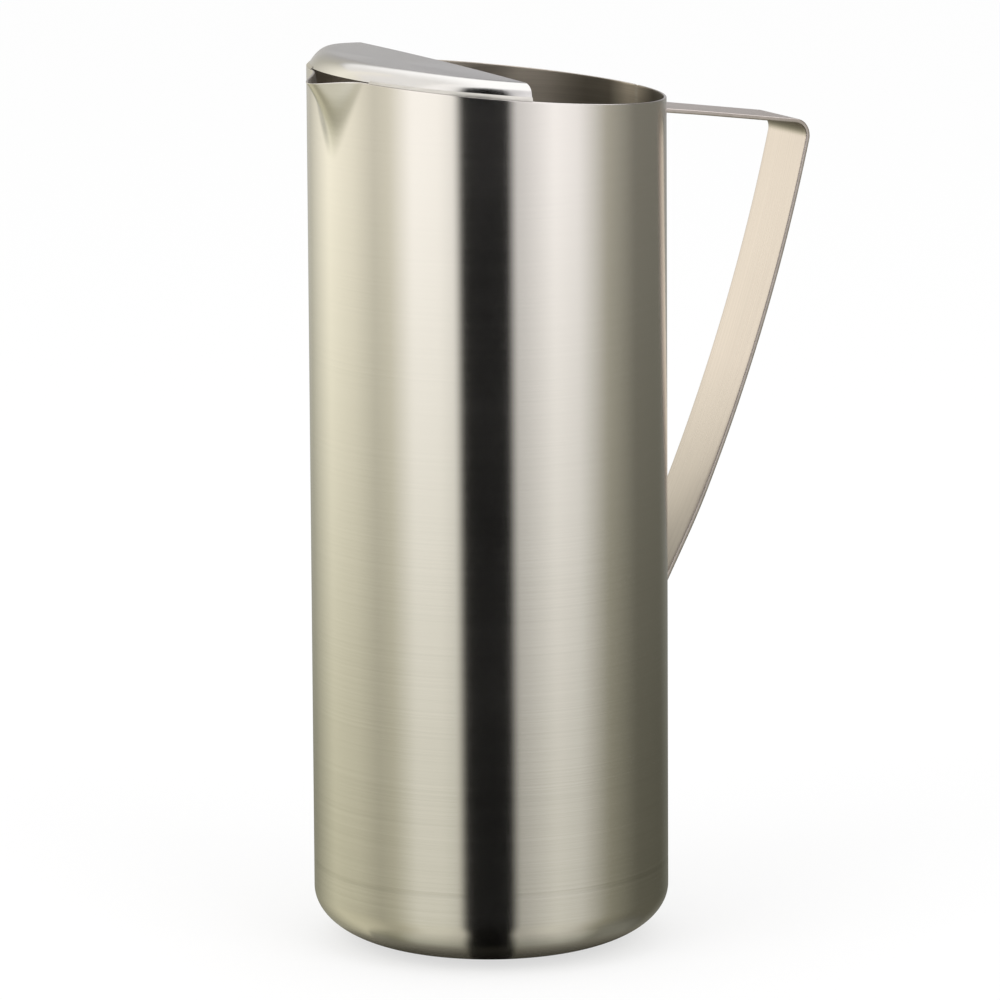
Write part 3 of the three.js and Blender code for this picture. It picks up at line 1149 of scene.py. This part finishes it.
cloth = new_cloth("foot_shade_cloth")
tree = cloth.node_tree
x, y = places(tree)[:2]
dim = graded(tree, distance(tree, x, y), shade_light)
colour = blend(tree, "MULTIPLY", dim, graded(tree, bearing(tree, x, y), shade_gap))
hang("foot_shade", cloth, colour, ((floor_middle, shade_height), (shade_reach, shade_height)))

# %% [markdown]
# A white roof closes the tent. The rolled shoulder of the guard shows it as a bright band. The world alone
# could be white up there, but the roof takes the same dimmer left side as the dome and so meets it without
# a seam.

# %% Close the roof
cloth = new_cloth("tent_roof_cloth")
y = places(cloth.node_tree)["Y"]
colour = graded(cloth.node_tree, y, dome_light)
hang("tent_roof", cloth, colour, ((floor_middle, tent_top), (tent_reach, tent_top)))

# %% [markdown]
# The pitcher stands on a sheet of pale paper. It takes the shadow like any paper. More light could make it
# white, but that light would fall on the pitcher too. So to the camera alone the paper also glows, and it
# comes out white. The steel looks past it at the tent.

# %% Lay the paper floor
paper_half = 12.0
paper_drop = 0.3 * MM
paper_glow = 0.65
paper_shade = (0.93, 0.93, 0.93, 1)

paper = bpy.data.materials.new("floor_paper")
paper.use_nodes = True
tree = paper.node_tree
matt = tree.nodes["Principled BSDF"]
matt.inputs["Base Color"].default_value = paper_shade
matt.inputs["Roughness"].default_value = 0.9
matt.inputs["Specular IOR Level"].default_value = 0.0
white = tree.nodes.new("ShaderNodeEmission")
white.inputs["Strength"].default_value = 1.0
seen = tree.nodes.new("ShaderNodeLightPath").outputs["Is Camera Ray"]
both = tree.nodes.new("ShaderNodeMixShader")
tree.links.new(work_out(tree, "MULTIPLY", seen, paper_glow), both.inputs["Fac"])
tree.links.new(matt.outputs["BSDF"], both.inputs[1])
tree.links.new(white.outputs["Emission"], both.inputs[2])
tree.links.new(both.outputs["Shader"], tree.nodes["Material Output"].inputs["Surface"])

corners = [(x * paper_half, y * paper_half, 0) for x, y in ((-1, -1), (1, -1), (1, 1), (-1, 1))]
floor_mesh = bpy.data.meshes.new("studio_floor")
floor_mesh.from_pydata(corners, [], [(0, 1, 2, 3)])
floor_mesh.materials.append(paper)
floor = put_in_scene("studio_floor", floor_mesh)
floor.location.z = -paper_drop
floor.visible_glossy = False
print(f"paper {2 * paper_half:.0f} m across, {paper_drop / MM:.1f} mm under the pitcher")

# %% [markdown]
# Two soft lamps and a white world light the paper and give the pitcher its soft shadow. One lamp would
# throw it to one side. The steel doesn't mirror the lamps, because the tent already holds the two soft
# boxes.

# %% Light the paper
lamp_aim = Vector((0, 0, 0.12))


def lamp(name, angle, height, reach, size, power):
    """A soft box that looks at the middle of the pitcher. The angle counts from the lens."""
    box = bpy.data.lights.new(name, "AREA")
    box.size = size
    box.energy = power
    obj = put_in_scene(name, box)
    at = math.radians(lens_bearing + angle)
    obj.location = (reach * math.cos(at), reach * math.sin(at), height)
    obj.rotation_mode = "QUATERNION"
    obj.rotation_quaternion = (lamp_aim - obj.location).to_track_quat("-Z", "Y")
    obj.visible_glossy = False


lamp("soft_box_left", angle=-45, height=1.3, reach=1.6, size=1.2, power=7)
lamp("soft_box_right", angle=40, height=1.3, reach=1.6, size=1.2, power=6)

world = bpy.data.worlds.new("studio_air")
world.use_nodes = True
air = world.node_tree.nodes["Background"]
air.inputs["Color"].default_value = (1.0, 1.0, 1.0, 1)
air.inputs["Strength"].default_value = 1.0
bpy.context.scene.world = world
bpy.context.scene.view_settings.view_transform = "Standard"
print("studio: tent, paper floor, two soft boxes and a white world")
